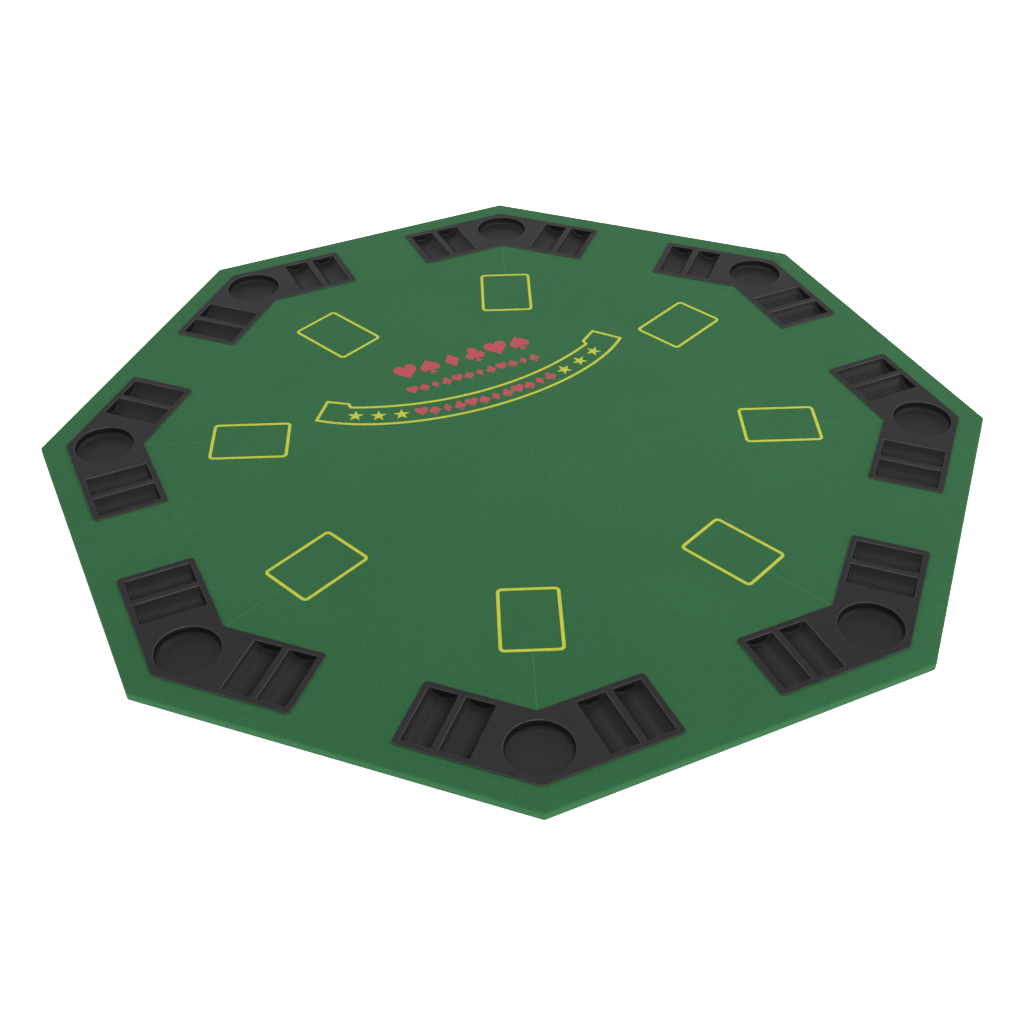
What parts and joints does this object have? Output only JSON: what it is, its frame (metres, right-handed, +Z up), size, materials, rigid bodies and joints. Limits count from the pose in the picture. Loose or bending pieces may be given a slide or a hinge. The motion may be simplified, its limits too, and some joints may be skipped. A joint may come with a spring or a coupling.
{
  "type": "folding poker table top",
  "caption": "Octagonal felt-covered table top that folds in half, with a chip tray and cup holder at each corner.",
  "frame": {"origin": "on the plane that the foot pads stand on, under the centre of the octagon", "axes": "+Z up; X along the fold line; +Y towards the back half, which lifts when the top is folded"},
  "size_m": [1.2, 1.2, 0.015],
  "materials": {
    "mdf": "raw pressed fibre board, matt",
    "felt": "short green felt with a soft nap",
    "cloth_tape": "woven cotton tape",
    "staple_steel": "bright galvanised wire",
    "rubber": "matt black rubber",
    "foam": "black foam tape",
    "tray_plastic": "black sheet plastic with a fine matt grain"
  },
  "bodies": {
    "front": {"board_front": "mdf", "felt_front": "felt", "hinge_tape_front": "cloth_tape", "staples_front": "staple_steel", "foot_pads_front": "rubber", "tray_5": "tray_plastic", "tray_6": "tray_plastic", "tray_7": "tray_plastic", "tray_8": "tray_plastic", "tray_tape_5": "foam", "tray_tape_6": "foam", "tray_tape_7": "foam", "tray_tape_8": "foam"},
    "back": {"board_back": "mdf", "felt_back": "felt", "hinge_tape_back": "cloth_tape", "staples_back": "staple_steel", "foot_pads_back": "rubber", "tray_1": "tray_plastic", "tray_2": "tray_plastic", "tray_3": "tray_plastic", "tray_4": "tray_plastic", "tray_tape_1": "foam", "tray_tape_2": "foam", "tray_tape_3": "foam", "tray_tape_4": "foam"}
  },
  "joints": [
    {"name": "fold", "type": "hinge", "parent": "front", "child": "back", "pos_m": [0, 0, 0.0152], "axis": [1, 0, 0], "range_deg": [0, 179.8]}
  ]
}
